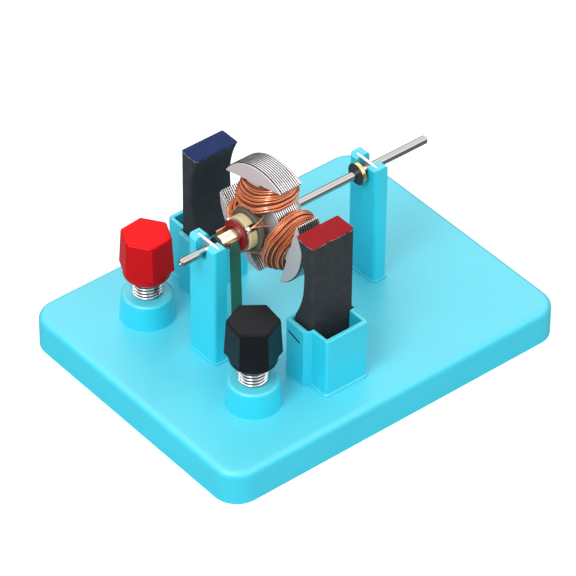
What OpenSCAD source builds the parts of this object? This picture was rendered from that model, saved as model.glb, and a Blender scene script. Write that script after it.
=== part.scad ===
// Demonstration electric motor: a three-pole armature between two standing
// magnets on a moulded base, with two binding posts.
// X runs along the shaft, Y across the base, Z up. The origin is the centre of
// the base's underside. Angles of poles run from +Y towards +Z.

/* [Base] */
// Length of the base, along the shaft
base_l = 110; // [100:1:130]
// Width of the base
base_w = 85; // [80:1:100]
// Height of the base
base_h = 10; // [9:0.5:14]
// Radius of the base's corners in plan
base_corner_r = 7; // [5:0.5:12]
// Radius of the base's rounded upper edge
base_edge_r = 2; // [1:0.25:3]
// Thickness of the base's side walls and of its deck
base_wall = 2.4; // [1.8:0.1:3]
// Thickness of the ribs under the deck
rib_t = 1.6; // [1.2:0.1:2.4]

/* [Posts and bearings] */
// Height of the shaft's axis above the underside of the base
shaft_z = 44; // [40:0.5:50]
// Height of the top of both posts above the underside of the base
post_top = 47; // [46:0.1:54]
// Width of a post, across the shaft
post_w = 10.6; // [10:0.2:14]
// Outer face of the front post, as a distance from the centre
front_post_x = 31; // [30:0.2:34]
// Inner face of the rear post, as a distance from the centre
rear_post_x = 21.8; // [21:0.2:26]
// Thickness of a post at its foot
post_t = 4.6; // [4:0.1:6]
// Width of the notch that the shaft lies in
notch_w = 4.3; // [4:0.1:6]
// Thickness of a bearing plate
bearing_t = 0.9; // [0.8:0.1:1.6]
// Width of a bearing plate
bearing_w = 8.4; // [7:0.1:9]

/* [Shaft] */
// Diameter of the shaft
shaft_d = 2.3; // [2:0.05:3]
// Reach of the shaft in front of the centre
shaft_front = 37.7; // [36:0.1:42]
// Reach of the shaft behind the centre
shaft_rear = 43.2; // [38:0.1:52]
// Running clearance between shaft and bearing, on the radius
run_gap = 0.05; // [0.02:0.01:0.1]

/* [Armature] */
// Radius over the pole shoes
arm_r = 16.7; // [15:0.1:18]
// Radius of the solid hub between the poles
hub_r = 8.5; // [7:0.1:9]
// Distance from the axis to the straight inner side of a pole shoe
shoe_chord = 11.7; // [11:0.1:12.4]
// Half of the angle that a pole shoe spans
shoe_half = 43.5; // [40:0.5:46]
// Width of a pole's neck
neck_w = 5; // [4:0.1:6]
// Number of steel laminations
lam_n = 10; // [6:1:14]
// Thickness of one lamination
lam_t = 0.5; // [0.35:0.05:0.7]
// Distance from one lamination to the next
lam_pitch = 0.62; // [0.55:0.01:0.8]
// Front face of the armature, as a distance in front of the centre
arm_front = 12; // [11:0.1:13]
// Angle of the first pole
pole_angle = 76; // [0:1:119]

/* [Coils] */
// Diameter of the coils' wire
wire_d = 0.36; // [0.3:0.01:0.45]
// Number of turns in the outer layer of a coil
coil_turns = 6; // [4:1:6]

/* [Commutator] */
// Radius of the commutator's segments
comm_r = 2.4; // [2.2:0.1:3]
// Radius of the insulating ring behind the segments
ring_r = 4.25; // [3.5:0.05:5]
// Radius of the hub's blocks behind the ring
block_r = 4.7; // [4:0.1:5.2]
// Radius of the disc that damps the sparks
varistor_r = 6; // [5:0.1:6.4]

/* [Magnets] */
// Length of a magnet, along the shaft
magnet_l = 13.6; // [12:0.1:14]
// Thickness of a magnet at its top and foot
magnet_t = 6.75; // [6:0.05:6.8]
// Height of a magnet's top above the underside of the base
magnet_top = 54.2; // [50:0.1:56]
// Distance from the shaft's axis to a magnet's foot
magnet_y = 19.15; // [19.15:0.05:20]
// Radius of a magnet's hollow face
magnet_arc_r = 27; // [25:0.5:30]
// Depth of the hollow face at its middle
magnet_hollow = 3.2; // [2:0.1:4]

/* [Magnet sockets] */
// Height of a socket's rim above the underside of the base
socket_top = 28; // [24:0.5:32]
// Depth of a socket's pocket
socket_depth = 10; // [6:0.5:14]

/* [Binding posts] */
// Distance of a binding post in front of the centre
term_x = 31.7; // [30:0.1:36]
// Distance of a binding post to either side
term_y = 21.8; // [20:0.1:28]
// Diameter of the threaded stud
stud_d = 8; // [7.5:0.1:8.4]
// Width of a cap across its flats, at the lower end of the flats
cap_flats = 12.95; // [12.4:0.05:14]
// Height of a cap
cap_h = 13.4; // [12.6:0.1:14]
// Gap between a cap and the boss under it
cap_gap = 5.9; // [5.6:0.1:6.4]

/* [Brushes] */
// Thickness of a brush's leaf
brush_t = 0.3; // [0.2:0.05:0.4]
// Width of a brush's leaf
brush_w = 3.4; // [2.6:0.1:3.4]

/* [Hidden] */
$fn = 64;
eps = 0.01;

// Base
deck_z = base_h - base_wall;
rib_rise = 1;
rib_x = [4, 34];
bay_r = [2, 1];
slit_gap = 0.3;
slot_gap = 0.05;

// Posts, from the foot up
post_draft = 0.35;
plinth = 0.5;
tenon_in = 0.8;
post_corner_r = 1;
notch_floor = shaft_z - shaft_d / 2 - 0.3;
post_chamfer = 0.7;
bearing_floor = shaft_z - 5;
bearing_top = post_top - 0.2;
bearing_x = [-front_post_x + 2.3, rear_post_x + 1.55];
bearing_slot_gap = 0.05;

// Shaft
shaft_r = shaft_d / 2;
tip = 0.3;
dimple_r = 0.45;
dimple_h = 0.5;

// Armature, from the front back
end_t = 0.4;
end_r = arm_r - 0.3;
lam_gap = lam_pitch - lam_t;
lam_x0 = -arm_front + end_t + lam_gap;
lam_x1 = lam_x0 + (lam_n - 1) * lam_pitch + lam_t;
rear_end_x = lam_x1 + lam_gap;
arm_rear = rear_end_x + end_t;
arm_x = (arm_rear - arm_front) / 2;
press = 0.02;
spacer_r = 2.3;
spacer_l = 4.6;

// Commutator, from the front back
washer_t = 0.6;
washer_x = -front_post_x + post_t + 0.1;
comm_x0 = washer_x + washer_t + 0.1;
ring_x = -20.3;
ring_t = 1;
block_x = ring_x + ring_t;
block_l = 3;
varistor_x = block_x + block_l + 0.05;
varistor_t = 1.3;
spigot_r = 2.2;
hub_core_r = 1.75;
seg_gap = 0.3;
riser_t = 0.4;
riser_w = 1.6;
riser_end = block_x + riser_t + 0.1;
collar_r = 3.1;
collar_t = 1.3;
collar_x = rear_post_x - collar_t - 0.9;

// Coils: at the pole's sides the turns lie between side_v, and across its two
// faces they fan out between face_v; their reach grows from the first value
// to the second
coil_steps = 24;
coil_sides = 6;
half_stack = (arm_rear + arm_front) / 2;
side_v = [hub_r + 0.55, shoe_chord - 0.45];
side_u = [3.7, 8.7];
face_v = [5.3, shoe_chord - 0.5];
face_w = [half_stack + 1.5, half_stack + 2.2];
face_crown = 1.1;
coil_square = 2.9;
core_inset = [0.34, 0.74];
neck_gap = [0.5, 0.2];
neck_square = 10;

// Magnets and sockets; the rotor's side is the socket's inner side
magnet_x = [-9.4, -10.25];
magnet_mid_z = magnet_top - 12.6;
socket_x = -9.7;
socket_wide = 17.6;
socket_narrow = 13.6;
socket_in = magnet_y - 0.9;
socket_shoulder = magnet_y + magnet_t + 0.05;
socket_out = 32.4;
socket_end_wall = 1.3;
wide_bore = 14.8;
narrow_bore = 11.5;
step_run = 1.1;
corner_r = 0.8;
tenon_step = 1;
slit_y = [19.4, 24.1];
slit_z = 24.1;
slit_h = 0.6;
slit_tilt = 14;

// Binding posts, from the bottom up
boss_h = 7.5;
boss_r = [7.4, 6.85];
boss_round = 1;
boss_top = base_h + boss_h;
stem_r = 2;
stem_gap = 0.15;
tag_r = 4.4;
washer_r = 4.4;
term_washer_t = 0.6;
nut_flats = 7;
nut_h = 3;
stem_end = 2.4;
cap_z = boss_top + cap_gap;
cap_down = 5.2;
cap_roof = 1.5;
cap_taper = 0.35;
cap_chamfer = 0.4;
skirt_h = 2.8;
skirt_r = 6.3;
skirt_round = 1.2;
insert_r = 5;
insert_foot = 0.5;
insert_head = 0.4;
stud_clear = 0.3;
stud_chamfer = 0.5;
stud_top = cap_z + cap_h - cap_roof - cap_down - stud_clear;
cap_turn = [-25, -7.3];

// Brushes
brush_x = -23.9;
brush_rest = comm_r + 0.1;
brush_lean = 1.1;
brush_tip = 1.6;
brush_flare = 0.3;
brush_bend = 0.4;
brush_straight = 3;

function lam_name(i) = str("lamination_", i < 10 ? "0" : "", i);

// ---- shapes shared by several pieces ----

// A block that spans x, y and z ranges
module block(x, y, z) {
    translate([x[0], y[0], z[0]]) cube([x[1] - x[0], y[1] - y[0], z[1] - z[0]]);
}

// A rectangle with round corners, drawn from its ranges
module round_rect(x, y, r) {
    translate([x[0] + r, y[0]]) square([x[1] - x[0] - 2 * r, y[1] - y[0]]);
    translate([x[0], y[0] + r]) square([x[1] - x[0], y[1] - y[0] - 2 * r]);
    for (cx = [x[0] + r, x[1] - r], cy = [y[0] + r, y[1] - r])
        translate([cx, cy]) circle(r);
}

// A cylinder on the shaft's axis, from x0 to x1
module on_shaft(x0, x1, r) {
    translate([x0, 0, shaft_z]) rotate([0, 90, 0]) cylinder(h = x1 - x0, r = r);
}

// Whatever it is given, drawn in the plane across the shaft and made thick
// along it: the drawing's x is Y, its y is Z, and its origin is the axis
module across_shaft(x0, t) {
    translate([x0, 0, shaft_z]) rotate([90, 0, 90]) linear_extrude(t) children();
}

// ---- base ----

// Section of the base's rim, from the inside at x = 0 out to its wall
module rim_section() {
    square([base_corner_r - base_edge_r, base_h]);
    square([base_corner_r, base_h - base_edge_r]);
    translate([base_corner_r - base_edge_r, base_h - base_edge_r]) circle(base_edge_r);
}

// The base's outer form, as one middle slab, four edges and four corners
module base_form() {
    lx = base_l / 2 - base_corner_r;
    ly = base_w / 2 - base_corner_r;
    block([-lx, lx], [-ly, ly], [0, base_h]);
    for (side = [0, 180]) rotate(side) {
        translate([lx, ly, 0]) rotate([90, 0, 0]) linear_extrude(2 * ly) rim_section();
        translate([-lx, ly, 0]) rotate([90, 0, 90]) linear_extrude(2 * lx) rim_section();
        translate([lx, ly, 0]) rotate_extrude(angle = 90) rim_section();
        translate([-lx, ly, 0]) rotate(90) rotate_extrude(angle = 90) rim_section();
    }
}

// The three bays under the deck, with ribs left between them
module base_bays() {
    x = [-base_l / 2 + base_wall, rib_x[0], rib_x[1], base_l / 2 - base_wall];
    y = [-base_w / 2 + base_wall, base_w / 2 - base_wall];
    for (i = [0:2])
        translate([0, 0, -eps]) linear_extrude(deck_z + eps)
            round_rect([x[i] + (i > 0 ? rib_t / 2 : 0), x[i + 1] - (i < 2 ? rib_t / 2 : 0)], y,
                       bay_r[i % 2]);
    translate([0, 0, -eps]) linear_extrude(rib_rise + eps)
        round_rect([x[0], x[3]], y, bay_r[0]);
}

// The boss that a binding post stands on
module boss() {
    rotate_extrude() {
        polygon([[0, -eps], [boss_r[0], -eps], [boss_r[1], boss_h - boss_round],
                 [boss_r[1] - boss_round, boss_h], [0, boss_h]]);
        translate([boss_r[1] - boss_round, boss_h - boss_round])
            intersection() {
                circle(boss_round);
                translate([-boss_round / 2, 0]) square(boss_round * 2);
            }
    }
}

module base_plate() {
    color("#5fdcee")
    difference() {
        union() {
            base_form();
            for (side = [-1, 1]) translate([-term_x, side * term_y, base_h]) boss();
        }
        base_bays();
        for (side = [-1, 1]) {
            translate([-term_x, side * term_y, -eps])
                cylinder(h = boss_top + 1, r = stem_r + stem_gap);
            brush_slit(side);
        }
        post_tenon([-front_post_x, -front_post_x + post_t], slot_gap);
        post_tenon([rear_post_x, rear_post_x + post_t], slot_gap);
        for (side = [-1, 1]) socket_tenon(side, slot_gap);
    }
}

// The slit in the deck that a brush's leaf passes through
module brush_slit(side) {
    y = side * (brush_rest + brush_lean + brush_t / 2);
    half = brush_t / 2 + slit_gap;
    block([brush_x - slit_gap, brush_x + brush_w + slit_gap], [y - half, y + half],
          [deck_z - 1, base_h + 1]);
}

// ---- posts ----

// The tongue under a post, which fills its slot in the deck
module post_tenon(x, gap) {
    w = post_w / 2 - tenon_in;
    block([x[0] + tenon_in - gap, x[1] - tenon_in + gap], [-w - gap, w + gap],
          [deck_z - (gap > 0 ? 1 : 0), base_h + (gap > 0 ? 1 : eps)]);
}

// A post that stands between the given x values and has its bearing plate's
// groove at plate_x
module post(x, plate_x) {
    w = post_w / 2;
    gap = bearing_slot_gap;
    difference() {
        union() {
            intersection() {
                translate([0, w, 0]) rotate([90, 0, 0]) linear_extrude(post_w)
                    polygon([[x[0], base_h], [x[1], base_h],
                             [x[1] - post_draft, post_top - post_chamfer],
                             [x[1] - post_draft - post_chamfer, post_top],
                             [x[0] + post_chamfer, post_top],
                             [x[0], post_top - post_chamfer]]);
                linear_extrude(post_top + 1) round_rect(x, [-w, w], post_corner_r);
            }
            translate([0, 0, base_h]) linear_extrude(plinth)
                round_rect([x[0] - plinth, x[1] + plinth], [-w - plinth, w + plinth],
                           post_corner_r + plinth);
            post_tenon(x, 0);
        }
        block([x[0] - 1, x[1] + 1], [-notch_w / 2, notch_w / 2], [notch_floor, post_top + 1]);
        block([plate_x - bearing_t / 2 - gap, plate_x + bearing_t / 2 + gap],
              [-bearing_w / 2 - gap, bearing_w / 2 + gap], [bearing_floor, post_top + 1]);
    }
}

module front_post() {
    color("#5fdcee") post([-front_post_x, -front_post_x + post_t], bearing_x[0]);
}

module rear_post() {
    color("#5fdcee") post([rear_post_x, rear_post_x + post_t], bearing_x[1]);
}

// A metal plate, with the bore that the shaft turns in
module bearing_plate(x) {
    color("#c9ccd2")
    difference() {
        block([x - bearing_t / 2, x + bearing_t / 2], [-bearing_w / 2, bearing_w / 2],
              [bearing_floor, bearing_top]);
        on_shaft(x - bearing_t, x + bearing_t, shaft_r + run_gap);
    }
}

module front_bearing_plate() {
    bearing_plate(bearing_x[0]);
}

module rear_bearing_plate() {
    bearing_plate(bearing_x[1]);
}

// ---- magnets and their sockets ----

// Outline of a socket: a wide stretch beside the rotor that holds the magnet,
// then a step in to a narrower pocket. Distances run away from the shaft.
module socket_outline(wide, narrow, near, shoulder, far) {
    polygon([[-wide / 2, near], [wide / 2, near], [wide / 2, shoulder],
             [narrow / 2, shoulder + step_run], [narrow / 2, far],
             [-narrow / 2, far], [-narrow / 2, shoulder + step_run], [-wide / 2, shoulder]]);
}

module socket_tenon(side, gap) {
    grow = gap > 0 ? 1 : 0;
    w = narrow_bore / 2 + gap;
    far = socket_out - socket_end_wall + gap;
    near = socket_in + tenon_step - gap;
    block([socket_x - w, socket_x + w], side > 0 ? [near, far] : [-far, -near],
          [deck_z - grow, base_h + (gap > 0 ? 1 : eps)]);
}

// A socket's outer form: the wide stretch with its upright edges beside the
// rotor rounded, and the narrow one with its far edges rounded
module socket_solid() {
    h = socket_top - base_h;
    intersection() {
        linear_extrude(h)
            socket_outline(socket_wide, socket_narrow, socket_in, socket_shoulder - 0.5,
                           socket_out - 2 * corner_r);
        linear_extrude(h)
            round_rect([-socket_wide / 2, socket_wide / 2], [socket_in, socket_out], corner_r);
    }
    linear_extrude(h)
        round_rect([-socket_narrow / 2, socket_narrow / 2],
                   [socket_shoulder + step_run, socket_out], corner_r);
}

// The narrow slit in a socket's wall towards the binding posts
module socket_slit() {
    translate([-socket_wide / 2, (slit_y[0] + slit_y[1]) / 2, slit_z - base_h])
        rotate([slit_tilt, 0, 0])
            cube([2, slit_y[1] - slit_y[0], slit_h], center = true);
}

// A socket; side is 1 towards +Y and -1 towards -Y
module socket(side) {
    color("#5fdcee") {
        difference() {
            union() {
                translate([socket_x, 0, base_h]) mirror([0, side < 0 ? 1 : 0, 0]) {
                    socket_solid();
                    linear_extrude(plinth)
                        round_rect([-socket_narrow / 2 - plinth, socket_narrow / 2 + plinth],
                                   [socket_in + corner_r, socket_out + plinth], corner_r + plinth);
                }
                socket_tenon(side, 0);
            }
            if (side < 0) translate([socket_x, 0, base_h]) mirror([0, 1, 0]) socket_slit();
            translate([socket_x, 0, socket_top - socket_depth])
                mirror([0, side < 0 ? 1 : 0, 0]) {
                    translate([-wide_bore / 2, magnet_y - slot_gap, 0])
                        cube([wide_bore, magnet_t + 2 * slot_gap, socket_depth + 1]);
                    translate([-narrow_bore / 2, magnet_y, 0])
                        cube([narrow_bore, socket_out - socket_end_wall - magnet_y, socket_depth + 1]);
                }
        }
    }
}

module north_socket() {
    socket(-1);
}

module south_socket() {
    socket(1);
}

// A magnet: a block whose inner face is hollowed by a large radius
module magnet(side, x) {
    color("#32353a")
    mirror([0, side < 0 ? 1 : 0, 0])
    difference() {
        block([x - magnet_l / 2, x + magnet_l / 2], [magnet_y, magnet_y + magnet_t],
              [socket_top - socket_depth, magnet_top]);
        translate([x - magnet_l, magnet_y + magnet_hollow - magnet_arc_r, magnet_mid_z])
            rotate([0, 90, 0]) cylinder(h = 2 * magnet_l, r = magnet_arc_r, $fn = 180);
    }
}

module north_magnet() {
    magnet(-1, magnet_x[0]);
}

module south_magnet() {
    magnet(1, magnet_x[1]);
}

// ---- brushes ----

// A springy leaf that lies against the commutator, passes through the deck
// and turns under it into a foot with an eye round the binding post's stem
module brush(side) {
    root = brush_rest + brush_lean;
    bend_z = shaft_z + brush_bend;
    shoulder_z = shaft_z - brush_straight;
    foot_z = deck_z - brush_t;
    mirror([0, side < 0 ? 1 : 0, 0]) {
        translate([brush_x, 0, 0]) rotate([90, 0, 90]) linear_extrude(brush_w)
            polygon([[brush_rest + brush_flare, shaft_z + brush_tip],
                     [brush_rest + brush_flare + brush_t, shaft_z + brush_tip],
                     [brush_rest + brush_t, bend_z], [brush_rest + brush_t, shoulder_z],
                     [root + brush_t, base_h + 2], [root + brush_t, foot_z],
                     [root, foot_z], [root, base_h + 2],
                     [brush_rest, shoulder_z], [brush_rest, bend_z]]);
        translate([0, 0, foot_z]) linear_extrude(brush_t) difference() {
            union() {
                translate([brush_x, root]) square([brush_w, brush_w + 1]);
                polygon([[brush_x, root + brush_w + 1], [brush_x + brush_w, root + 2],
                         [brush_x + brush_w, root + brush_w + 1],
                         [-term_x + tag_r * 0.8, term_y - tag_r * 0.2],
                         [-term_x - tag_r * 0.8, term_y - tag_r * 0.2]]);
                translate([-term_x, term_y]) circle(tag_r);
            }
            translate([-term_x, term_y]) circle(stem_r + stem_gap);
        }
    }
}

module red_brush() {
    color("#c77b45") brush(1);
}

module black_brush() {
    color("#c77b45") brush(-1);
}

// ---- binding posts ----

// Puts a child, drawn on the Z axis, where a binding post stands
module at_terminal(side) {
    translate([-term_x, side * term_y, 0]) children();
}

// The stud: a thick column over the boss and a stem through it
module stud(side) {
    r = stud_d / 2;
    color("#cfd3d8") at_terminal(side)
    rotate_extrude()
        polygon([[0, stem_end], [stem_r - tip, stem_end], [stem_r, stem_end + tip],
                 [stem_r, boss_top], [r, boss_top],
                 [r, stud_top - stud_chamfer], [r - stud_chamfer, stud_top], [0, stud_top]]);
}

module term_washer(side) {
    color("#c9ccd2") at_terminal(side)
    translate([0, 0, deck_z - brush_t - term_washer_t]) difference() {
        cylinder(h = term_washer_t, r = washer_r);
        translate([0, 0, -1]) cylinder(h = 2 * term_washer_t + 1, r = stem_r + stem_gap);
    }
}

module term_nut(side) {
    top = deck_z - brush_t - term_washer_t;
    color("#d8b45a") at_terminal(side)
    translate([0, 0, top - nut_h]) difference() {
        cylinder(h = nut_h, r = nut_flats / sqrt(3), $fn = 6);
        translate([0, 0, -1]) cylinder(h = nut_h + 2, r = stem_r + press);
    }
}

// The threaded sleeve inside a cap
module insert(side) {
    color("#d8b45a") at_terminal(side)
    translate([0, 0, cap_z + insert_foot]) difference() {
        cylinder(h = cap_h - cap_roof - insert_foot - insert_head, r = insert_r);
        translate([0, 0, -1]) cylinder(h = cap_h, r = stud_d / 2 + run_gap);
    }
}

// Six flats that draw in a little towards the top
module cap_flats_form() {
    h = cap_h - skirt_h;
    low = cap_flats / 2;
    intersection_for (a = [0, 60, 120])
        rotate(a) translate([0, cap_flats, 0]) rotate([90, 0, 0]) linear_extrude(2 * cap_flats)
            polygon([[-low, 0], [low, 0],
                     [low - cap_taper, h - cap_chamfer], [low - cap_taper - cap_chamfer, h],
                     [-low + cap_taper + cap_chamfer, h], [-low + cap_taper, h - cap_chamfer]]);
}

// A cap turned by the given angle: six flats over a round skirt
module cap(side, turn) {
    at_terminal(side) translate([0, 0, cap_z]) rotate(turn) difference() {
        union() {
            translate([0, 0, skirt_h]) cap_flats_form();
            rotate_extrude() {
                translate([0, skirt_round]) square([skirt_r, skirt_h - skirt_round + eps]);
                square([skirt_r - skirt_round, skirt_h]);
                translate([skirt_r - skirt_round, skirt_round]) circle(skirt_round);
            }
        }
        translate([0, 0, -1]) cylinder(h = cap_h - cap_roof + 1, r = insert_r + run_gap);
    }
}

module red_cap() {
    color("#e01420") cap(1, cap_turn[0]);
}

module black_cap() {
    color("#1d2024") cap(-1, cap_turn[1]);
}

// ---- rotor ----

module shaft() {
    color("#b8b6b4")
    difference() {
        translate([0, 0, shaft_z]) rotate([0, 90, 0]) rotate_extrude()
            polygon([[0, -shaft_front], [shaft_r - tip, -shaft_front],
                     [shaft_r, -shaft_front + tip], [shaft_r, shaft_rear - tip],
                     [shaft_r - tip, shaft_rear], [0, shaft_rear]]);
        translate([-shaft_front - eps, 0, shaft_z]) rotate([0, 90, 0])
            cylinder(h = dimple_h, r1 = dimple_r, r2 = 0.05);
    }
}

// A plain ring on the shaft
module shaft_ring(x0, t, r, bore) {
    difference() {
        on_shaft(x0, x0 + t, r);
        on_shaft(x0 - 1, x0 + t + 1, bore);
    }
}

module front_washer() {
    color("#3a3a3c") shaft_ring(washer_x, washer_t, comm_r, shaft_r + press);
}

module rear_spacer() {
    color("#b9bcbc") shaft_ring(arm_rear + 0.02, spacer_l, spacer_r, shaft_r + press);
}

module rear_collar() {
    color("#d8b45a") shaft_ring(collar_x, collar_t, collar_r, shaft_r + press);
}

module insulating_ring() {
    color("#8f1620") shaft_ring(ring_x, ring_t, ring_r, comm_r + press);
}

module varistor() {
    color("#46483f") shaft_ring(varistor_x, varistor_t, varistor_r, spigot_r + press);
}

// The moulded hub: a sleeve under the segments, three blocks, and the spigot
// that carries the disc and meets the armature
module commutator_hub() {
    color("#d9cfa8")
    difference() {
        union() {
            on_shaft(comm_x0, riser_end + eps, hub_core_r);
            on_shaft(riser_end, block_x + block_l, block_r);
            on_shaft(riser_end, -arm_front - press, spigot_r);
        }
        on_shaft(comm_x0 - 1, 0, shaft_r + press);
        for (k = [0:2]) translate([0, 0, shaft_z]) rotate([segment_angle(k) - 90, 0, 0])
            block([block_x - 1, block_x + block_l + 1], [-riser_w / 2 - 0.1, riser_w / 2 + 0.1],
                  [spigot_r + 0.2, block_r + 1]);
    }
}

// Each segment's riser stands between two poles
function segment_angle(k) = pole_angle + 60 + 120 * k;

// One of three segments, with the riser that its coils are joined to
module commutator_segment(k) {
    arc = 120 - 2 * asin(seg_gap / 2 / comm_r);
    bore = hub_core_r + press;
    color("#d9c9a0") translate([0, 0, shaft_z]) {
        translate([comm_x0, 0, 0]) rotate([0, 90, 0])
            rotate(segment_angle(k) + 90 - arc / 2) rotate_extrude(angle = arc)
                translate([bore, 0]) square([comm_r - bore, block_x + riser_t - comm_x0]);
        rotate([segment_angle(k) - 90, 0, 0])
            block([block_x, block_x + riser_t], [-riser_w / 2, riser_w / 2],
                  [(bore + comm_r) / 2, block_r + 0.2]);
    }
}

// Outline of a lamination with three poles; r is the radius over its shoes
module star(r) {
    difference() {
        union() {
            circle(hub_r);
            for (k = [0:2]) rotate(pole_angle + 120 * k) {
                translate([0, -neck_w / 2]) square([shoe_chord + 1, neck_w]);
                shoe(r);
            }
        }
        circle(shaft_r + press);
    }
}

// A pole shoe: the part of a circle beyond a straight chord, with its two
// tips cut back to the angle that the shoe spans
module shoe(r) {
    half_w = r * sin(shoe_half);
    intersection() {
        circle(r);
        translate([shoe_chord, -half_w]) square([r, 2 * half_w]);
    }
}

module front_end_plate() {
    color("#b4bcc8") across_shaft(-arm_front, end_t) star(end_r);
}

module rear_end_plate() {
    color("#b4bcc8") across_shaft(rear_end_x, end_t) star(end_r);
}

module lamination(i) {
    color("#6e7074") across_shaft(lam_x0 + (i - 1) * lam_pitch, lam_t) star(arm_r);
}

// ---- coils ----
// In a pole's own frame x is along the shaft, y across the pole and z outward.

function mix(a, b, t) = a + (b - a) * t;

// A point on the rounded rectangle with half sides w and u
function rounded(w, u, t, n) =
    [w * sign(sin(t)) * pow(abs(sin(t)), 2 / n), u * sign(cos(t)) * pow(abs(cos(t)), 2 / n)];

// How far a point at angle t has moved from the pole's side to its face
function to_face(t) = pow(abs(sin(t)), 5);

// Height along the pole, for the layer position s from 0 to 1
function coil_v(s, t) =
    mix(mix(side_v[0], side_v[1], s), mix(face_v[0], face_v[1], s), to_face(t));

// Point on the outer layer; inset moves it in towards the core, by one
// amount at the faces and another at the sides
function layer_point(s, t, inset) =
    let (w = mix(face_w[0], face_w[1], s) + face_crown * sin(180 * s) - inset[0])
    let (u = mix(side_u[0], side_u[1], s) - inset[1])
    let (p = rounded(w, u, t, coil_square))
    [p[0], p[1], coil_v(s, t)];

function unit(v) = v / norm(v);

coil_path = [for (i = [0:coil_turns * coil_steps])
    layer_point(i / (coil_turns * coil_steps), 360 * i / coil_steps, [0, 0])];

// Least distance between two turns of the path, less the wire
coil_gap = min([for (i = [0:len(coil_path) - 1], j = [i + coil_steps / 2:1:len(coil_path) - 1])
    norm(coil_path[i] - coil_path[j])]) - wire_d;
echo(least_gap_between_turns_mm = coil_gap);

// The path with a straight end of one wire's width at each end
function with_ends(p) = let (n = len(p) - 1)
    concat([p[0] + unit(p[0] - p[1]) * wire_d], p, [p[n] + unit(p[n] - p[n - 1]) * wire_d]);

// Rings of points round a path
function tube_points(p) = [for (i = [0:len(p) - 1])
    let (along = unit(p[min(i + 1, len(p) - 1)] - p[max(i - 1, 0)]))
    let (side = unit(cross(along, [0, 0, 1])))
    let (up = cross(side, along))
    for (j = [0:coil_sides - 1])
        p[i] + wire_d / 2 * (cos(360 * j / coil_sides) * side + sin(360 * j / coil_sides) * up)];

// Triangles between successive rings of m points, open at both ends
function band(rings, m, closed) = [for (i = [0:rings - (closed ? 1 : 2)], j = [0:m - 1])
    let (a = i * m + j, b = i * m + (j + 1) % m)
    let (c = ((i + 1) % rings) * m + (j + 1) % m, d = ((i + 1) % rings) * m + j)
    each [[a, b, c], [a, c, d]]];

function fan(first, m, flip) = [for (j = [1:m - 2])
    flip ? [first, first + j + 1, first + j] : [first, first + j, first + j + 1]];

module winding() {
    path = with_ends(coil_path);
    n = len(path);
    polyhedron(tube_points(path), concat(band(n, coil_sides, false), fan(0, coil_sides, true),
                                         fan((n - 1) * coil_sides, coil_sides, false)));
}

// The inner layers, as one solid ring round the neck
module winding_core() {
    levels = [1, 0.75, 0.5, 0.25, 0];
    m = len(levels) + 2;
    points = [for (i = [0:coil_steps - 1]) let (t = 360 * i / coil_steps)
        let (near = rounded(half_stack + neck_gap[0], neck_w / 2 + neck_gap[1], t, neck_square))
        each concat([for (s = levels) layer_point(s, t, core_inset)],
                    [[near[0], near[1], coil_v(0, t)], [near[0], near[1], coil_v(1, t)]])];
    polyhedron(points, band(coil_steps, m, true));
}

module coil(k) {
    color("#d8743c")
    translate([arm_x, 0, shaft_z]) rotate([pole_angle + 120 * (k - 1) - 90, 0, 0]) {
        winding();
        winding_core();
    }
}

base_plate();
front_post();
rear_post();
north_socket();
south_socket();
front_bearing_plate();
rear_bearing_plate();
north_magnet();
south_magnet();
red_brush();
black_brush();
stud(1);  // red_stud
stud(-1);  // black_stud
term_washer(1);  // red_washer
term_washer(-1);  // black_washer
term_nut(1);  // red_nut
term_nut(-1);  // black_nut
insert(1);  // red_insert
insert(-1);  // black_insert
red_cap();
black_cap();
shaft();
front_washer();
commutator_hub();
insulating_ring();
varistor();
front_end_plate();
rear_end_plate();
rear_spacer();
rear_collar();
for (k = [1:3])
    commutator_segment(k - 1);
for (k = [1:3])
    coil(k);
for (i = [1:lam_n])
    lamination(i);
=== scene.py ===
"""Looks of a demonstration electric motor, dressed over its CAD frame.

The frame is that of the CAD model: X along the shaft, Y across the base, Z up,
with the origin under the middle of the base. Blender gets metres. The named
sizes below are in millimetres, which MM turns into metres, but those of the
materials are in metres.
"""
import math
import random

import bmesh
import bpy
from mathutils import Matrix, Vector, noise


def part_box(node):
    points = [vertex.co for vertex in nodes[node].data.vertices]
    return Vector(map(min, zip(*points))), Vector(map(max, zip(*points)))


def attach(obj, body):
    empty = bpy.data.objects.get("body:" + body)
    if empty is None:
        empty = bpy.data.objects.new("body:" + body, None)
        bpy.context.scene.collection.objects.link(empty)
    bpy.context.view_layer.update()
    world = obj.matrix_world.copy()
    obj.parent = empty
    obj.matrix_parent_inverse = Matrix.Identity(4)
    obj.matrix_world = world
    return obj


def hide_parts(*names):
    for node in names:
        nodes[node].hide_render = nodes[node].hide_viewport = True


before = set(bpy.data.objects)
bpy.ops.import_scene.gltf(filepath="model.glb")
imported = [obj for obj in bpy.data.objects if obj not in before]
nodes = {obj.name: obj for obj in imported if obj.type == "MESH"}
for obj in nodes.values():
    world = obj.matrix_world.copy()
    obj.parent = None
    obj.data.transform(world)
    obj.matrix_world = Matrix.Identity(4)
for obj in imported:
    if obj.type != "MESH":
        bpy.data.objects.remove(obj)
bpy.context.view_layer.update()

MM = 0.001
TAU = 2 * math.pi


def mix(a, b, t):
    return a + (b - a) * t


def unit(value):
    """value, held between 0 and 1."""
    return min(1.0, max(0.0, value))


def eased(value):
    """value, from 0 to 1, with a soft start and a soft end."""
    return value * value * (3 - 2 * value)


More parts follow.
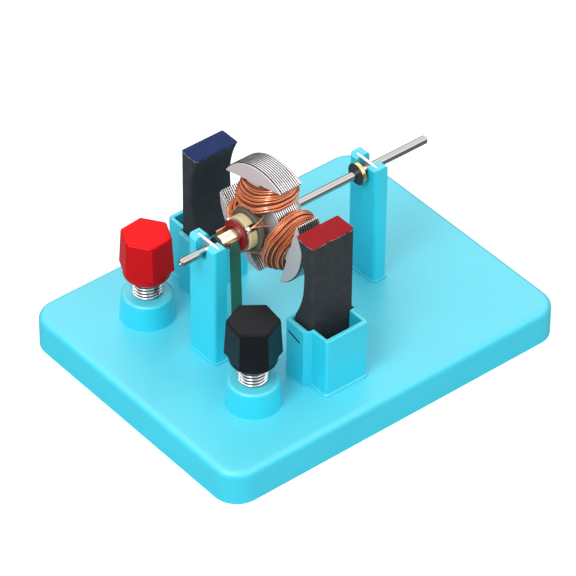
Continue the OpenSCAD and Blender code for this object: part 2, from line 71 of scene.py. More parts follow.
# ---------------------------------------------------------------- camera
# The photograph's viewpoint, as turns about the object in degrees, a distance
# and the frame's offset in millimetres, and a focal length for the sensor.
VIEW_AZIMUTH = -39.55
VIEW_ELEVATION = 40.0
VIEW_ROLL = 0.50
VIEW_DISTANCE = 1128.5
VIEW_OFFSET = (-1.905, 12.424)
VIEW_LENS = 270.0
VIEW_SENSOR = 36
VIEW_CLIP = (0.05, 20)  # metres


def make_camera():
    a, e, r = (math.radians(v) for v in (VIEW_AZIMUTH, VIEW_ELEVATION, VIEW_ROLL))
    back = Vector((math.sin(a) * math.cos(e), -math.cos(a) * math.cos(e), math.sin(e)))
    right = Vector((math.cos(a), math.sin(a), 0))
    up = back.cross(right)
    right, up = (right * math.cos(r) + up * math.sin(r), up * math.cos(r) - right * math.sin(r))
    place = (right * VIEW_OFFSET[0] + up * VIEW_OFFSET[1] + back * VIEW_DISTANCE) * MM
    data = bpy.data.cameras.new("photo_camera")
    data.lens = VIEW_LENS
    data.sensor_width = VIEW_SENSOR
    data.clip_start, data.clip_end = VIEW_CLIP
    camera = bpy.data.objects.new("photo_camera", data)
    turn = Matrix((right, up, back)).transposed().to_4x4()
    camera.matrix_world = Matrix.Translation(place) @ turn
    bpy.context.scene.collection.objects.link(camera)
    bpy.context.scene.camera = camera


# ---------------------------------------------------------------- shader nodes
# The owner below is a material or the world. A Mix node's colour sockets share
# their names with its other sockets, so they go by number.
MIX_A, MIX_B, MIX_RESULT = 6, 7, 2
BLACK, WHITE = (0, 0, 0), (1, 1, 1)


def material(name):
    """A new node material and its shader."""
    m = bpy.data.materials.new(name)
    m.use_nodes = True
    return m, m.node_tree.nodes["Principled BSDF"]


def feed(owner, node, inputs):
    """Gives each named socket of a node a value or another node's output."""
    for socket, content in inputs.items():
        if isinstance(content, bpy.types.NodeSocket):
            owner.node_tree.links.new(content, node.inputs[socket])
        else:
            node.inputs[socket].default_value = content


def add(owner, kind, inputs=None, **settings):
    """A new node with its settings and inputs."""
    node = owner.node_tree.nodes.new(kind)
    for name, value in settings.items():
        setattr(node, name, value)
    feed(owner, node, inputs or {})
    return node


def height_of(owner, vector):
    """The Z part of a vector."""
    return add(owner, "ShaderNodeSeparateXYZ", {"Vector": vector}).outputs["Z"]


def compute(owner, operation, *values):
    node = add(owner, "ShaderNodeMath", dict(enumerate(values)), operation=operation)
    return node.outputs["Value"]


def spread(owner, value, low, high, start=0.0, end=1.0):
    """value, which goes from start to end, as a number from low to high."""
    return add(owner, "ShaderNodeMapRange",
               {"Value": value, "From Min": start, "From Max": end,
                "To Min": low, "To Max": high}).outputs["Result"]


def ramp(owner, value, stops):
    """A colour for value, from stops that each hold a place and a colour."""
    node = add(owner, "ShaderNodeValToRGB", {"Fac": value})
    elements = node.color_ramp.elements
    while len(elements) < len(stops):
        elements.new(0.5)
    for element, (place, colour) in zip(elements, stops):
        element.position = place
        element.color = (*colour, 1)
    return node.outputs["Color"]


def blend(owner, factor, a, b, kind="MIX"):
    """Colour a, with colour b over it by factor."""
    node = add(owner, "ShaderNodeMix", data_type="RGBA", blend_type=kind)
    feed(owner, node, {"Factor": factor, MIX_A: a, MIX_B: b})
    return node.outputs[MIX_RESULT]


def noise_at(m, size, detail=3.0, stretch=(1, 1, 1)):
    """Noise on the object, with features about size metres across, stretched
    along its axes."""
    place = add(m, "ShaderNodeTexCoord").outputs["Object"]
    place = add(m, "ShaderNodeMapping", {"Vector": place, "Scale": stretch}).outputs["Vector"]
    return add(m, "ShaderNodeTexNoise",
               {"Vector": place, "Scale": 1 / size, "Detail": detail}).outputs["Fac"]


def bump(m, shader, height, strength, distance):
    node = add(m, "ShaderNodeBump",
               {"Height": height, "Strength": strength, "Distance": distance})
    feed(m, shader, {"Normal": node.outputs["Normal"]})


def shade(colour, k):
    return tuple(min(1.0, v * k) for v in colour)


def grey(value):
    return (value, value, value)


# ---------------------------------------------------------------- materials
CLOUD_SIZE = 0.012
CLOUD_STOPS = (0.35, 0.65)
# Where the painted light from above goes from the sides' colour to the top's, by how far the
# surface faces up.
PAINTED_LIGHT_STOPS = (0.35, 0.98)
DULL_SIZE = 0.004
GRAIN_SIZE = 0.00012
GRAIN_DEPTH = 0.00003
PLASTIC_COAT_ROUGHNESS = 0.42
SCATTER_RADIUS = (0.2, 1.0, 1.0)
SCATTER_SCALE = 0.0012
METAL_COAT_ROUGHNESS = 0.15
METAL_MARK_DEPTH = 0.00002

# The paint on a magnet's top. Noise of up to PAINT_RAGGED is added to the
# height. The sum says, from the top, up to where the stone is bare, where the
# paint is worn most and from where it is whole.
PAINT_RAGGED = 0.0011
PAINT_RAGGED_SIZE = 0.0011
PAINT_BARE, PAINT_WORN, PAINT_WHOLE = -0.00004, 0.00013, 0.00021
PAINT_CLOUD_SIZE = 0.003
RUBBED_SIZE = 0.0016
RUBBED_COLOUR = (0.50, 0.47, 0.46, 1)
STONE_DARK, STONE_PALE = (0.034, 0.039, 0.044), (0.043, 0.049, 0.055)
STONE_CLOUD_SIZE = 0.0022
STONE_ROUGHNESS, PAINT_ROUGHNESS = 0.62, 0.42
STONE_GLOSS = 0.07
STONE_GRAIN_SIZE = 0.0004
STONE_GRAIN_DEPTH = 0.00005


def clouded(m, low, high):
    """A colour that drifts faintly between two."""
    return ramp(m, noise_at(m, CLOUD_SIZE), tuple(zip(CLOUD_STOPS, (low, high))))


def painted_light_from_above(m, low, high):
    """Painted light: goes from low to high where the surface turns to face up, standing in for a
    soft light from above that lights the plastic's top and leaves its sides in shade."""
    facing = add(m, "ShaderNodeNewGeometry").outputs["Normal"]
    tone = ramp(m, height_of(m, facing), tuple(zip(PAINTED_LIGHT_STOPS, (low, high))))
    return blend(m, 1, tone, clouded(m, grey(0.97), WHITE), "MULTIPLY")


def plastic(name, colour, roughness, above=None, coat=0.0, relief=0.02, scatter=0.0, gloss=0.5):
    """Moulded plastic: even colour with faint clouding and a fine grain. above, if given, is the
    painted light where it faces up, with colour as the painted shade on its sides."""
    m, s = material(name)
    # With above, the colour is painted light and shade: paler on top, darker on the sides.
    if above:
        shown = painted_light_from_above(m, colour, above)
    else:
        shown = clouded(m, shade(colour, 0.97), shade(colour, 1.03))
    feed(m, s, {
        "Base Color": shown,
        "Roughness": spread(m, noise_at(m, DULL_SIZE), roughness - 0.03, roughness + 0.05),
        "Specular IOR Level": gloss,
        "Coat Weight": coat,
        "Coat Roughness": PLASTIC_COAT_ROUGHNESS,
    })
    if scatter:
        feed(m, s, {"Subsurface Weight": scatter, "Subsurface Radius": SCATTER_RADIUS,
                    "Subsurface Scale": SCATTER_SCALE})
    bump(m, s, noise_at(m, GRAIN_SIZE, 2.0), relief, GRAIN_DEPTH)
    return m


def metal(name, colour, roughness, streak=(1, 1, 1), size=0.0006, relief=0.03, tint=0.12,
          metallic=1.0, coat=0.0):
    """Metal with fine marks that run along one axis."""
    m, s = material(name)
    marks = noise_at(m, size, 4.0, streak)
    feed(m, s, {
        "Base Color": ramp(m, marks, ((0.3, shade(colour, 1 - tint)), (0.7, colour))),
        "Roughness": spread(m, marks, roughness * 0.8, roughness * 1.3),
        "Metallic": metallic,
        "Coat Weight": coat,
        "Coat Roughness": METAL_COAT_ROUGHNESS,
    })
    bump(m, s, marks, relief, METAL_MARK_DEPTH)
    return m


def ferrite(name, paint, top):
    """Dark sintered ferrite with its top painted; the paint's edge is ragged
    and worn pale in places."""
    m, s = material(name)
    height = height_of(m, add(m, "ShaderNodeTexCoord").outputs["Object"])
    ragged = compute(m, "MULTIPLY_ADD", noise_at(m, PAINT_RAGGED_SIZE, 4.0), PAINT_RAGGED, height)
    painted = spread(m, ragged, 0, 1, top + PAINT_WORN, top + PAINT_WHOLE)
    reached = spread(m, ragged, 0, 1, top + PAINT_BARE, top + PAINT_WORN)
    stone = ramp(m, noise_at(m, STONE_CLOUD_SIZE, 5.0), ((0.3, STONE_DARK), (0.7, STONE_PALE)))
    coat = ramp(m, noise_at(m, PAINT_CLOUD_SIZE),
                ((0.3, shade(paint, 0.86)), (0.7, shade(paint, 1.08))))
    rubbed = ramp(m, noise_at(m, RUBBED_SIZE, 4.0), ((0.42, BLACK), (0.54, grey(0.9))))
    worn = compute(m, "MULTIPLY", compute(m, "SUBTRACT", reached, painted), rubbed)
    feed(m, s, {
        "Base Color": blend(m, worn, blend(m, painted, stone, coat), RUBBED_COLOUR),
        "Roughness": spread(m, painted, STONE_ROUGHNESS, PAINT_ROUGHNESS),
        "Specular IOR Level": STONE_GLOSS,
    })
    bump(m, s, noise_at(m, STONE_GRAIN_SIZE, 5.0), 0.12, STONE_GRAIN_DEPTH)
    return m


def make_materials():
    """The materials, most of them under the name of their material slot."""
    along_x = (0.08, 1, 1)
    return {
        # These two take painted light from above: paler where they face up, darker on their
        # sides.
        "base_plastic": plastic("cyan_plastic", (0.014, 0.68, 0.88), 0.44,
                                above=(0.10, 0.72, 0.87), coat=1.0, scatter=0.2),
        "red_plastic": plastic("red_plastic", (0.58, 0.004, 0.008), 0.30,
                               above=(0.92, 0.006, 0.010), gloss=0.10),
        "black_plastic": plastic("black_plastic", (0.008, 0.009, 0.012), 0.34, gloss=0.14),
        "hub_nylon": plastic("cream_nylon", (0.66, 0.56, 0.32), 0.45),
        "spacer_nylon": plastic("grey_nylon", (0.55, 0.58, 0.58), 0.45),
        "red_fibre": plastic("red_fibre", (0.24, 0.006, 0.012), 0.35, relief=0.2),
        "dark_fibre": plastic("dark_fibre", (0.035, 0.035, 0.038), 0.5, relief=0.2),
        "varistor_ceramic": plastic("olive_ceramic", (0.105, 0.100, 0.078), 0.42, relief=0.1),
        "steel": metal("shaft_steel", (0.48, 0.455, 0.44), 0.12, along_x, 0.0003),
        "end_plate_steel": metal("plate_steel", (0.74, 0.72, 0.73), 0.45, metallic=0.35),
        "lamination_steel": metal("sheet_edge_steel", (0.80, 0.78, 0.78), 0.30,
                                  (1, 0.2, 0.2), 0.0004),
        "bearing_metal": metal("bearing_metal", (0.92, 0.92, 0.93), 0.40),
        "segment_metal": metal("segment_metal", (0.86, 0.76, 0.60), 0.24, along_x, 0.0003),
        # Darker steel for painted shade in the thread's roots.
        "thread_root_shade": metal("thread_root_shade", (0.16, 0.16, 0.17), 0.3),
        "chrome": metal("thread_chrome", (0.80, 0.80, 0.82), 0.12, (1, 1, 0.2), 0.0005),
        "brass": metal("turned_brass", (0.83, 0.62, 0.30), 0.24),
        "spring_bronze": metal("spring_bronze", (0.72, 0.36, 0.19), 0.22, (1, 1, 0.1), 0.0004),
        "copper": metal("copper_wire", (0.90, 0.27, 0.11), 0.26, size=0.004, relief=0.0,
                        metallic=0.4, coat=1.0),
        "slit_shade": plastic("slit_shade", (0.004, 0.05, 0.07), 0.6, gloss=0.1),
        # Darker copper: painted shade for the wires under the outer layer.
        "copper_in_painted_shade": plastic("copper_in_painted_shade", (0.22, 0.058, 0.025), 0.5, gloss=0.2),
        "tarnish": plastic("dark_tarnish", (0.030, 0.024, 0.018), 0.35),
        # Dark faces of the sheets: partly their scale, partly painted shade in the gaps between
        # them.
        "sheet_scale_and_shade": plastic("sheet_scale_and_shade", (0.07, 0.07, 0.075), 0.5),
        "solder": metal("solder", (0.72, 0.72, 0.72), 0.22),
    }


# ---------------------------------------------------------------- mesh tools
WELD = 2e-6  # metres between points that are one point
PARALLEL = 1e-4  # length of the product of two directions that are the same
# Angles in degrees: up to the first faces are joined, from the others on
# edges are sharp.
FLAT_ANGLE = 0.6
SHARP_ANGLE = 28
PIECE_SHARP_ANGLE = 32
ROUND_SHARP_ANGLE = 50
UPRIGHT = 0.9  # least share of height in the length of an upright edge
ALONG_SHAFT = 0.7  # least X in the normal of a face that looks along the shaft


def link_object(name, mesh):
    o = bpy.data.objects.new(name, mesh)
    bpy.context.scene.collection.objects.link(o)
    return o


def smooth_shading(mesh, angle):
    mesh.polygons.foreach_set("use_smooth", [True] * len(mesh.polygons))
    mesh.set_sharp_from_angle(angle=math.radians(angle))


def piece(name, verts, faces, mat, body, stands_for=(), smooth=PIECE_SHARP_ANGLE):
    """A new mesh piece, in place, riding on a body."""
    mesh = bpy.data.meshes.new(name)
    mesh.from_pydata([tuple(v) for v in verts], [], faces)
    mesh.validate()
    mesh.update()
    mesh.materials.append(mat)
    smooth_shading(mesh, smooth)
    o = link_object(name, mesh)
    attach(o, body)
    if stands_for:
        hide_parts(*stands_for)
    return o


def second_finish(o, mat, chosen):
    """Gives the faces for which chosen is true a second material."""
    o.data.materials.append(mat)
    for polygon in o.data.polygons:
        if chosen(polygon):
            polygon.material_index = 1


def faces_shaft(polygon):
    return abs(polygon.normal.x) > ALONG_SHAFT


def welded_copy(node, change):
    """The CAD node's mesh with its triangles joined into larger faces."""
    mesh = nodes[node].data.copy()
    bm = bmesh.new()
    bm.from_mesh(mesh)
    bmesh.ops.remove_doubles(bm, verts=bm.verts, dist=WELD)
    bmesh.ops.dissolve_limit(bm, angle_limit=math.radians(FLAT_ANGLE),
                             verts=bm.verts, edges=bm.edges)
    if change:
        change(bm)
    bmesh.ops.triangulate(bm, faces=[f for f in bm.faces if len(f.verts) > 4])
    bm.to_mesh(mesh)
    bm.free()
    for attribute in ("custom_normal", "sharp_face"):
        if attribute in mesh.attributes:
            mesh.attributes.remove(mesh.attributes[attribute])
    return mesh


def in_box(place, box):
    return all(low * MM <= c <= high * MM for c, low, high in zip(place, *box))


def mark_edges(mesh, above, spared, level):
    """Gives the sharp edges above a height a bevel weight, but not those in
    the spared box: 1 to upright edges and level to the others."""
    bm = bmesh.new()
    bm.from_mesh(mesh)
    weight = bm.edges.layers.float.new("bevel_weight_edge")
    for edge in bm.edges:
        if spared and all(in_box(v.co, spared) for v in edge.verts):
            continue
        high = min(v.co.z for v in edge.verts) >= above * MM
        if high and edge.is_manifold and edge.calc_face_angle() > math.radians(SHARP_ANGLE):
            along = edge.verts[1].co - edge.verts[0].co
            edge[weight] = 1 if abs(along.z) > UPRIGHT * along.length else level
    bm.to_mesh(mesh)
    bm.free()


def soften(node, body, mat, width, segments=3, above=-math.inf, clamp=False,
           spared=None, change=None, level=1):
    """Stands in for a CAD node with the same form and softly rounded edges.
    Only edges above a height and out of the spared box are rounded, upright
    ones by the width and the others by a share of it, level. clamp holds the
    rounding back where edges are close. change is done to the mesh before."""
    mesh = welded_copy(node, change)
    mesh.materials.clear()
    mesh.materials.append(mat)
    smooth_shading(mesh, SHARP_ANGLE)
    mark_edges(mesh, above, spared, level)
    o = link_object(node + "_softened", mesh)
    bevel = o.modifiers.new("soft_edges", "BEVEL")
    bevel.width = width * MM
    bevel.segments = segments
    bevel.limit_method = "WEIGHT"
    bevel.miter_outer = "MITER_ARC"
    bevel.use_clamp_overlap = clamp
    even = o.modifiers.new("even_normals", "WEIGHTED_NORMAL")
    even.keep_sharp = True
    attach(o, body)
    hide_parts(node)
    return o


def dress(node, mat):
    """A CAD node that keeps its own mesh gets its finish."""
    mesh = nodes[node].data
    mesh.materials.clear()
    mesh.materials.append(mat)


def bands(rings, points, flipped=False, closed=False):
    """Faces between rings that hold as many points each, one ring after the
    other; closed joins the last ring to the first."""
    faces = []
    for i in range(rings if closed else rings - 1):
        near, far = i * points, (i + 1) % rings * points
        for k in range(points):
            n = (k + 1) % points
            a, b, c, d = near + k, near + n, far + n, far + k
            faces.append((a, d, c, b) if flipped else (a, b, c, d))
    return faces


def end_faces(rings, points):
    """Faces that close the first and the last ring of bands."""
    last = (rings - 1) * points
    return [tuple(reversed(range(points))), tuple(range(last, last + points))]


def tube(points, radius, sides=6):
    """Vertices and faces of a round tube along points."""
    verts = []
    last = Vector((0, 0, 1))
    for i, p in enumerate(points):
        along = (points[min(i + 1, len(points) - 1)] - points[max(i - 1, 0)]).normalized()
        side = along.cross(last)
        if side.length < PARALLEL:
            side = along.orthogonal()
        side.normalize()
        last = side.cross(along).normalized()
        for k in range(sides):
            t = TAU * k / sides
            verts.append(p + (side * math.cos(t) + last * math.sin(t)) * radius)
    ends = [tuple(reversed(face)) for face in end_faces(len(points), sides)]
    return verts, bands(len(points), sides, flipped=True) + ends


def gather(parts):
    """Several (verts, faces) as one."""
    verts, faces = [], []
    for v, f in parts:
        start = len(verts)
        verts.extend(v)
        faces.extend(tuple(start + i for i in face) for face in f)
    return verts, faces


# ---------------------------------------------------------------- base and what stands on it
BOSS_FOOT_Z = 11
PLINTH_Z = 10.4
# The slit in the north socket's wall: the box it lies in, how deep its inner
# faces start, its middle across the base, and how much it leans in the visual.
SLIT_BOX = ((-18.7, -24.8, 22.6), (-17.3, -18.7, 25.7))
SLIT_INSIDE_X = -18.45
SLIT_MIDDLE_Y = -21.75
SLIT_SLOPE = 0.5
RED_PAINT = (0.36, 0.014, 0.018)
BLUE_PAINT = (0.018, 0.035, 0.125)


def turned_slit(bm):
    """Leans the slit in the socket's wall down towards the outside."""
    for v in bm.verts:
        if in_box(v.co, SLIT_BOX):
            v.co.z += (v.co.y - SLIT_MIDDLE_Y * MM) * SLIT_SLOPE


def inside_slit(polygon):
    return in_box(polygon.center, SLIT_BOX) and polygon.center.x > SLIT_INSIDE_X * MM


def dress_base(mats):
    cyan = mats["base_plastic"]
    soften("base_plate", "base", cyan, width=0.2, segments=2,
           above=BOSS_FOOT_Z)
    for node in ("front_post", "rear_post"):
        soften(node, "base", cyan, width=0.3, above=PLINTH_Z, clamp=True)
    soften("south_socket", "base", cyan, width=0.3, above=PLINTH_Z)
    socket = soften("north_socket", "base", cyan, width=0.3, above=PLINTH_Z,
                    spared=SLIT_BOX, change=turned_slit)
    second_finish(socket, mats["slit_shade"], inside_slit)
    for node in ("front_bearing_plate", "rear_bearing_plate"):
        soften(node, "base", mats["bearing_metal"], width=0.12, segments=2)
    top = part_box("north_magnet")[1].z
    red = ferrite("ferrite_red_top", RED_PAINT, top)
    blue = ferrite("ferrite_blue_top", BLUE_PAINT, top)
    soften("north_magnet", "base", red, width=0.8, level=0.4)
    soften("south_magnet", "base", blue, width=0.8, level=0.4)
    for side in ("red", "black"):
        soften(side + "_brush", "base", mats["spring_bronze"], width=0.08,
               segments=2)
        dress(side + "_washer", mats["steel"])
        soften(side + "_nut", "base", mats["brass"], width=0.2, segments=2)


# ---------------------------------------------------------------- binding posts
CAP_FLATS_Z = 26.6
STUD_SEAT_Z = 17.5
STEM_R = 2.0
THREAD_PITCH = 1.0
THREAD_DEPTH = 0.55
THREAD_CHAMFER = 0.45
THREAD_STEPS = 72  # points round the stud
THREAD_ROWS = 14  # rings of points in one pitch
# Shares of half a pitch that are crest and flank, and how much of the flank
# is rounded.
THREAD_CREST, THREAD_FLANK, THREAD_ROUND = 0.14, 0.72, 0.35
# From and to how far below the crest the thread is darker: painted shade in the roots of the
# thread.
THREAD_ROOT_SHADE = (0.3, 0.75)


def thread_radius(outer, phase):
    """Radius of the stud at a place in its pitch, from 0 to 1: a rounded
    crest and root joined by straight flanks."""
    rise = unit((abs(phase - 0.5) * 2 - THREAD_CREST) / THREAD_FLANK)
    return outer - THREAD_DEPTH * mix(rise, eased(rise), THREAD_ROUND)


def threaded_stud(side, mats):
    """The stud with its real thread, over the plain CAD column."""
    node = side + "_stud"
    low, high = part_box(node)
    cx, cy = (low.x + high.x) / 2, (low.y + high.y) / 2
    outer = (high.x - low.x) / 2 / MM
    top_z = high.z / MM
    rows = int((top_z - STUD_SEAT_Z) / THREAD_PITCH * THREAD_ROWS)
    rings = [(low.z / MM, [STEM_R] * THREAD_STEPS), (STUD_SEAT_Z, [STEM_R] * THREAD_STEPS)]
    for i in range(rows + 1):
        z = STUD_SEAT_Z + (top_z - STUD_SEAT_Z) * i / rows
        widest = outer - max(0.0, THREAD_CHAMFER - min(z - STUD_SEAT_Z, top_z - z))
        rings.append((z, [min(widest, thread_radius(
            outer, (z / THREAD_PITCH - k / THREAD_STEPS) % 1.0)) for k in range(THREAD_STEPS)]))
    verts = []
    for z, radii in rings:
        for k, r in enumerate(radii):
            t = TAU * k / THREAD_STEPS
            verts.append(Vector((cx, cy, 0)) + Vector((r * math.cos(t), r * math.sin(t), z)) * MM)
    faces = bands(len(rings), THREAD_STEPS) + end_faces(len(rings), THREAD_STEPS)
    stud = piece(side + "_threaded_stud", verts, faces, mats["chrome"], "base",
                 (node,), ROUND_SHARP_ANGLE)

    def in_shaded_root(polygon):
        reach = Vector((polygon.center.x - cx, polygon.center.y - cy, 0)).length / MM
        near, far = THREAD_ROOT_SHADE
        return outer - far < reach < outer - near and polygon.center.z > STUD_SEAT_Z * MM

    # The roots of the thread get painted shade.
    second_finish(stud, mats["thread_root_shade"], in_shaded_root)


def dress_binding_posts(mats):
    for side, slot in (("red", "red_plastic"), ("black", "black_plastic")):
        threaded_stud(side, mats)
        dress(side + "_insert", mats["brass"])
        soften(side + "_cap", side + "_cap", mats[slot], width=0.4, segments=4,
               above=CAP_FLATS_Z)


# ---------------------------------------------------------------- coils
# A point of a coil has X along the shaft from the stack's middle, Y across the
# pole and Z out along it.
AXIS_Z = 44.0
POLE_ANGLES = (76, 196, 316)
STACK_X = -8.43
STACK_HALF = 3.57
WIRE_R = 0.16
# A coil's form. Pairs go from its inner end at the hub to its outer end.
COIL_GAP = 0.3
COIL_BULGE = 3.2
COIL_BULGE_SKEW, COIL_BULGE_FULLNESS = 0.6, 0.8
COIL_HALF = 7.3
COIL_SPREAD = (0.5, 1.5, 0.4)  # what each coil's middle adds to COIL_HALF
COIL_SHIFT = 1.2  # of its front along Y
COIL_SQUARENESS = (2.8, 2.0)
COIL_SIDE_Z = (5.2, 11.2)
COIL_FACE_Z = (4.7, 11.0)
COIL_CORNER_RISE = (0.6, 0.3)
COIL_TOP_Z = 11.3
OUT_ALONG, OUT_ACROSS = 0.6, 0.5
# What holds the wire off the shaft: the plates' round middle, up to a little
# beyond the stack, and the disc in front of it.
HUB_HOLD, HUB_REACH = 8.78, 1.1
DISC_HOLD, DISC_X, DISC_SLOPE = 6.5, -5.5, 0.6
# The winding: the turns of each layer and how far out it lies, and how much
# the wire wanders in its layer, rises out of it and sags along the pole.
INNER_LAYERS = ((13, 0.0), (13, 0.34))
OUTER_LAYERS = ((20, 0.72),)
TURN_STEPS = 40
TURN_BENDS = 3
WANDER, RISE, SAG = 0.055, 0.2, 0.2
COIL_SEED = 11
# The closed ring under the wires.
CORE_STEPS, CORE_LEVELS = 48, 9
CORE_SINK = -0.2
CORE_BORE_GAP, CORE_BORE_HALF, CORE_BORE_SQUARENESS = 0.35, 2.8, 9


def in_pole_frame(k, p):
    """A point of coil k, in metres in the frame of the model."""
    t = math.radians(POLE_ANGLES[k] - 90)
    x, y, z = p
    return Vector((STACK_X + x, y * math.cos(t) - z * math.sin(t),
                   AXIS_Z + y * math.sin(t) + z * math.cos(t))) * MM


def rounded(w, u, t, n):
    """A point at angle t of a rounded rectangle with half sides w and u. It is
    an ellipse where n is 2, and squarer the higher n is."""
    s, c = math.sin(t), math.cos(t)
    return (w * math.copysign(abs(s) ** (2 / n), s), u * math.copysign(abs(c) ** (2 / n), c))


def coil_point(k, s, t, out, sag):
    """A point of coil k: s is its place in the layer, t its angle round the
    neck, out how far it lies over the core, sag a shift along the pole."""
    bulge = COIL_BULGE * math.sin(math.pi * s ** COIL_BULGE_SKEW) ** COIL_BULGE_FULLNESS
    w = STACK_HALF + COIL_GAP + bulge + out * OUT_ALONG
    u = COIL_HALF + COIL_SPREAD[k] * math.sin(math.pi * s) + out * OUT_ACROSS
    x, y = rounded(w, u, t, mix(*COIL_SQUARENESS, s))
    y -= COIL_SHIFT * max(0.0, -math.sin(t))
    z = mix(mix(*COIL_SIDE_Z, s), mix(*COIL_FACE_Z, s), math.sin(t) ** 4)
    z += math.sin(2 * t) ** 2 * mix(*COIL_CORNER_RISE, s) + sag
    held = max(HUB_HOLD * unit(STACK_HALF + HUB_REACH - abs(x)),
               DISC_HOLD * unit((DISC_X - x) / DISC_SLOPE))
    if abs(y) < held:
        z = max(z, math.sqrt(held * held - y * y))
    return x, y, min(z, COIL_TOP_Z)


def between(values, place):
    """The value at a place along a list, eased from one to the next."""
    j = int(place)
    return mix(values[j], values[j + 1], eased(place - j))


def winding(k, rng, layers):
    """Layers of wire round pole k, with the small crossings of real turns."""
    parts = []
    for layer, (turns, out) in enumerate(layers):
        bends = TURN_BENDS * turns + 2
        drift = [rng.uniform(-1, 1) for _ in range(bends)]
        lift = [rng.uniform(-1, 1) for _ in range(bends)]
        path = []
        for i in range(turns * TURN_STEPS + 1):
            turn = i / TURN_STEPS
            wander = between(drift, TURN_BENDS * turn)
            raised = between(lift, TURN_BENDS * turn)
            s = turn / turns
            s = 1 - s if layer % 2 else s
            path.append(in_pole_frame(k, coil_point(k, unit(s + WANDER * wander), TAU * turn,
                                                   out + RISE * raised, SAG * wander)))
        parts.append(tube(path, WIRE_R * MM))
    return gather(parts)


def winding_core(k):
    """A closed ring under the outer wires, in place of the wires inside."""
    rings = []
    for i in range(CORE_STEPS):
        t = TAU * i / CORE_STEPS
        outer = [coil_point(k, j / (CORE_LEVELS - 1), t, CORE_SINK, 0)
                 for j in range(CORE_LEVELS)]
        bore = rounded(STACK_HALF + CORE_BORE_GAP, CORE_BORE_HALF, t, CORE_BORE_SQUARENESS)
        inner = [(*bore, outer[-1][2]), (*bore, outer[0][2])]
        rings.append([in_pole_frame(k, p) for p in outer + inner])
    return [p for ring in rings for p in ring], bands(CORE_STEPS, CORE_LEVELS + 2, closed=True)


def dress_coils(mats):
    rng = random.Random(COIL_SEED)
    for k in range(len(POLE_ANGLES)):
        verts, faces = winding(k, rng, OUTER_LAYERS)
        piece(f"coil_{k + 1}_wound", verts, faces, mats["copper"], "rotor",
              (f"coil_{k + 1}",), ROUND_SHARP_ANGLE)
        # The inner layers and the core are in darker copper, painted shade under and between the
        # outer wires.
        verts, faces = gather([winding(k, rng, INNER_LAYERS), winding_core(k)])
        piece(f"coil_{k + 1}_inside", verts, faces, mats["copper_in_painted_shade"], "rotor",
              smooth=ROUND_SHARP_ANGLE)


# ---------------------------------------------------------------- solder and leads
RISER_R = 4.7
SOLDER_X = -18.5
SOLDER_R = 0.95
SOLDER_SQUASH = 0.9  # along the shaft
SOLDER_STEPS = 14
SOLDER_UNEVEN, SOLDER_LUMPS = 0.22, 1.6
SOLDER_SEED_STEP = 3.1
# A lead starts at a front corner of its coil, passes a bend and ends at a riser.
LEAD_START = (-5.2, 4.9, 4.6)
LEAD_BEND_X, LEAD_BEND_R = -16.6, 6.9
LEAD_END_X = -18.75
LEAD_STEPS = 16
LEAD_SIDES = 8


def riser_point(k, x, r):
    """A point in metres at riser k, at a place along the shaft and a radius."""
    t = math.radians(POLE_ANGLES[k] + 60)
    return Vector((x, r * math.cos(t), AXIS_Z + r * math.sin(t))) * MM


def solder_drop(k):
    """A drop of solder: a round form with an uneven skin."""
    columns = 2 * SOLDER_STEPS
    seed = Vector((SOLDER_SEED_STEP * k, 0, 0))
    verts = []
    for i in range(SOLDER_STEPS + 1):
        a = math.pi * i / SOLDER_STEPS
        for j in range(columns):
            b = math.pi * j / SOLDER_STEPS
            d = Vector((math.sin(a) * math.cos(b), math.sin(a) * math.sin(b), math.cos(a)))
            r = SOLDER_R * MM * (1 + SOLDER_UNEVEN * noise.noise(d * SOLDER_LUMPS + seed))
            verts.append(riser_point(k, SOLDER_X, RISER_R)
                         + Vector((d.x * SOLDER_SQUASH, d.y, d.z)) * r)
    return verts, bands(SOLDER_STEPS + 1, columns, flipped=True)


def leads(k):
    """The two wires from a coil's front corners to the risers beside it."""
    parts = []
    x, y, z = LEAD_START
    for side in (-1, 1):
        riser = k if side > 0 else (k - 1) % len(POLE_ANGLES)
        start = in_pole_frame(k, (x, -side * y, z))
        bend = riser_point(riser, LEAD_BEND_X, LEAD_BEND_R)
        end = riser_point(riser, LEAD_END_X, RISER_R)
        shares = (i / LEAD_STEPS for i in range(LEAD_STEPS + 1))
        path = [start * (1 - f) ** 2 + bend * (2 * f * (1 - f)) + end * f ** 2 for f in shares]
        parts.append(tube(path, WIRE_R * MM, LEAD_SIDES))
    return gather(parts)


# ---------------------------------------------------------------- rotor
SHEET_SHARE = 0.74  # of a sheet's thickness that the visual shows


def thinned(bm):
    """Draws a sheet's two faces together about its middle plane, so that the
    gaps between the sheets show."""
    xs = [v.co.x for v in bm.verts]
    middle = (min(xs) + max(xs)) / 2
    for v in bm.verts:
        v.co.x = mix(middle, v.co.x, SHEET_SHARE)


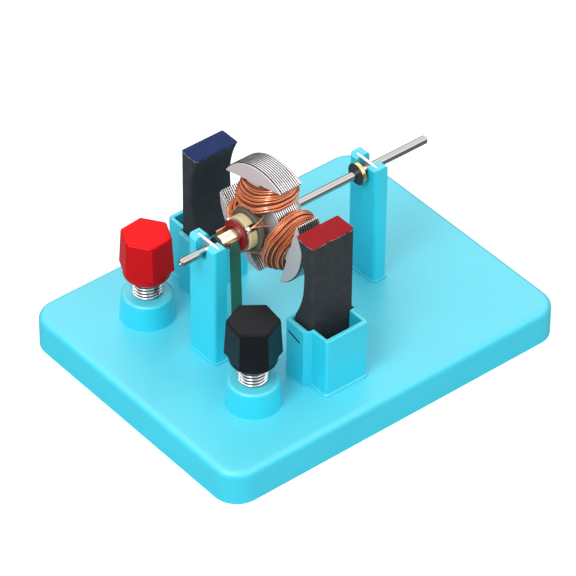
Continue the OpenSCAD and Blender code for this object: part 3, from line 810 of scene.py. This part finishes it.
def dress_rotor(mats):
    dress("shaft", mats["steel"])
    for node, slot, width, segments in (("front_washer", "dark_fibre", 0.1, 2),
                                        ("commutator_hub", "hub_nylon", 0.25, 3),
                                        ("insulating_ring", "red_fibre", 0.22, 3),
                                        ("varistor", "varistor_ceramic", 0.2, 3),
                                        ("rear_spacer", "spacer_nylon", 0.25, 3)):
        soften(node, "rotor", mats[slot], width, segments)
    collar = soften("rear_collar", "rotor", mats["brass"], width=0.18)
    second_finish(collar, mats["tarnish"], faces_shaft)
    for k in (1, 2, 3):
        dress(f"commutator_segment_{k}", mats["segment_metal"])
    for node in ("front_end_plate", "rear_end_plate"):
        soften(node, "rotor", mats["end_plate_steel"], width=0.08, segments=2)
    for node in nodes:
        if node.startswith("lamination_"):
            sheet = soften(node, "rotor", mats["lamination_steel"],
                           width=0.06, segments=2, change=thinned)
            # The faces between the sheets are dark: their scale and painted shade in the gaps.
            second_finish(sheet, mats["sheet_scale_and_shade"], faces_shaft)
    dress_coils(mats)
    verts, faces = gather([solder_drop(k) for k in range(len(POLE_ANGLES))])
    piece("solder_joints", verts, faces, mats["solder"], "rotor")
    verts, faces = gather([leads(k) for k in range(len(POLE_ANGLES))])
    piece("coil_leads", verts, faces, mats["copper"], "rotor")


# ---------------------------------------------------------------- studio
FLOOR_HALF = 3.0  # metres
FLOOR_COLOUR = (0.86, 0.86, 0.86, 1)
FLOOR_MIRRORED = (0.25, 0.25, 0.25, 1)
FLOOR_GLOW = 0.45
# Greys of the world by height, from the horizon at 0 to the zenith at 1, and
# its strength: as a source of light, and in reflections.
SKY_GREYS = ((0.0, 0.55), (0.9, 0.75))
SKY_MIRRORED = ((0.0, 0.08), (0.2, 0.15), (0.42, 0.9), (0.7, 1.0), (1.0, 0.55))
SKY_STRENGTH, SKY_MIRRORED_STRENGTH = 1.0, 1.8
LAMP_AIM = Vector((0, 0, 0.03))  # metres


def floor_material():
    """White where the camera looks at it, with the object's shadow kept, and
    darker in reflections."""
    m, s = material("studio_white")
    path = add(m, "ShaderNodeLightPath")
    feed(m, s, {
        "Base Color": blend(m, path.outputs["Is Glossy Ray"], FLOOR_COLOUR, FLOOR_MIRRORED),
        "Roughness": 0.9,
        "Specular IOR Level": 0.0,
        "Emission Color": (*WHITE, 1),
        "Emission Strength": compute(m, "MULTIPLY", path.outputs["Is Camera Ray"], FLOOR_GLOW),
    })
    return m


def make_floor():
    h = FLOOR_HALF
    mesh = bpy.data.meshes.new("studio_floor")
    mesh.from_pydata([(-h, -h, 0), (h, -h, 0), (h, h, 0), (-h, h, 0)], [], [(0, 1, 2, 3)])
    mesh.materials.append(floor_material())
    floor = link_object("studio_floor", mesh)


def lamp(name, direction, distance, size, watts):
    """A round lamp of a size in metres, towards a direction from the object."""
    data = bpy.data.lights.new(name, "AREA")
    data.shape = "DISK"
    data.size = size
    data.energy = watts
    o = bpy.data.objects.new(name, data)
    d = Vector(direction).normalized()
    o.location = d * distance + LAMP_AIM
    o.rotation_euler = d.to_track_quat("Z", "Y").to_euler()
    bpy.context.scene.collection.objects.link(o)


def make_world():
    """White to the camera, banded in reflections, soft as a source of light."""
    world = bpy.data.worlds.new("studio")
    bpy.context.scene.world = world
    world.use_nodes = True
    height = height_of(world, add(world, "ShaderNodeTexCoord").outputs["Generated"])
    sky, mirrored = (ramp(world, height, [(place, grey(value)) for place, value in greys])
                     for greys in (SKY_GREYS, SKY_MIRRORED))
    path = add(world, "ShaderNodeLightPath")
    glossy = path.outputs["Is Glossy Ray"]
    lit = blend(world, glossy, sky, mirrored)
    feed(world, world.node_tree.nodes["Background"], {
        "Color": blend(world, path.outputs["Is Camera Ray"], lit, (*WHITE, 1)),
        "Strength": spread(world, glossy, SKY_STRENGTH, SKY_MIRRORED_STRENGTH),
    })


def make_studio():
    make_floor()
    make_world()
    lamp("key", (-0.85, -0.25, 1.0), distance=0.9, size=0.45, watts=4.0)
    lamp("fill", (0.15, -1.0, 0.60), distance=1.1, size=0.7, watts=1.3)
    bpy.context.scene.view_settings.view_transform = "Standard"


make_camera()
made = make_materials()
dress_base(made)
dress_binding_posts(made)
dress_rotor(made)
make_studio()
